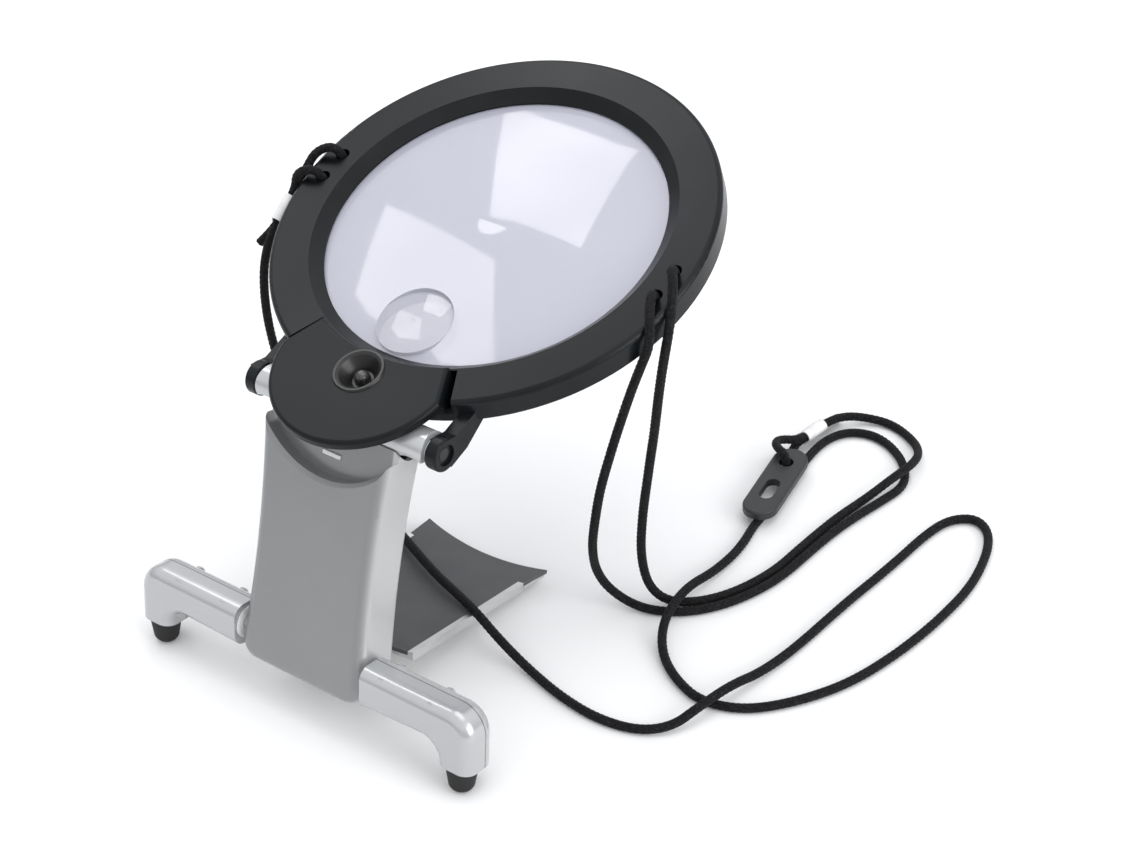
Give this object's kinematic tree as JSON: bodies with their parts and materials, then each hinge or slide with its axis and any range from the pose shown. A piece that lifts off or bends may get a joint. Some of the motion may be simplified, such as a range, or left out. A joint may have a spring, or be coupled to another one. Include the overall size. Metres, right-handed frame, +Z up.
{
  "type": "stand magnifier",
  "caption": "Hands-free illuminated magnifier: a round lens with an inset strong lens on a folding foot stand, with a long braided neck cord.",
  "frame": {"origin": "on the table, under the middle of the object's outline without its cord", "axes": "+Z up, +Y from the feet towards the free edge of the lens head, +X to the right of a user who faces the object"},
  "size_m": [0.2284, 0.2261, 0.1412],
  "materials": {
    "charcoal_plastic": "satin moulded plastic",
    "hub_plastic": "satin moulded plastic",
    "black_plastic": "matte",
    "silver_paint": "metallic silver paint on plastic",
    "bright_silver": "bright metallic silver paint on plastic",
    "clear_acrylic": "polished clear",
    "steel": "plated",
    "spring_contact": "nickel plated",
    "cell_jacket": "printed sleeve",
    "foot_rubber": "matte",
    "plate_metal": "satin",
    "pad_grip": "fine grained",
    "cord_braid": "braided",
    "crimp_white": "satin",
    "slider_plastic": "matte",
    "lamp_lens": "clear",
    "board_green": "solder mask"
  },
  "bodies": {
    "arm": {"arm_front": "silver_paint", "arm_back": "silver_paint", "hinge_neck": "bright_silver", "hinge_pin": "steel", "hinge_washers": "black_plastic", "catch_nib": "crimp_white", "battery_cells": "cell_jacket", "battery_contacts": "spring_contact", "switch_body": "black_plastic", "arm_screws": "steel", "plate_pin": "steel", "neck_cord": "cord_braid", "ferrule_right": "crimp_white", "cord_slider": "slider_plastic"},
    "head": {"frame_front": "charcoal_plastic", "frame_back": "charcoal_plastic", "main_lens": "clear_acrylic", "inset_lens": "clear_acrylic", "head_screws": "steel", "lamp_hub": "hub_plastic", "lamp_bezel": "black_plastic", "led": "lamp_lens", "lamp_board": "board_green", "ferrule_left": "crimp_white"},
    "crossbar": {"bar_front_right": "bright_silver", "bar_front_left": "bright_silver", "bar_back_right": "bright_silver", "bar_back_left": "bright_silver", "bar_screws_right": "steel", "bar_screws_left": "steel", "rubber_foot_right": "foot_rubber", "rubber_foot_left": "foot_rubber", "crossbar_axle": "steel", "axle_washers": "black_plastic"},
    "rear_plate": {"plate_frame": "plate_metal", "plate_pad": "pad_grip"},
    "door": {"battery_door": "silver_paint"},
    "switch": {"switch_knob": "black_plastic"}
  },
  "joints": [
    {"name": "head_tilt", "type": "hinge", "parent": "arm", "child": "head", "pos_m": [0, -0.05262, 0.09258], "axis": [1, 0, 0], "range_deg": [-28, 54.3], "deforming": ["neck_cord"]},
    {"name": "crossbar_swing", "type": "hinge", "parent": "arm", "child": "crossbar", "pos_m": [0, -0.08405, 0.02149], "axis": [1, 0, 0], "range_deg": [-60, 15]},
    {"name": "plate_fold", "type": "hinge", "parent": "arm", "child": "rear_plate", "pos_m": [0, -0.06964, 0.01427], "axis": [1, 0, 0], "range_deg": [0, 76]},
    {"name": "battery_door_slide", "type": "slide", "parent": "arm", "child": "door", "axis": [0, -0.3338, -0.9426], "range_m": [0, 0.007]},
    {"name": "switch_slide", "type": "slide", "parent": "arm", "child": "switch", "axis": [1, 0, 0], "range_m": [0, 0.0024]}
  ]
}
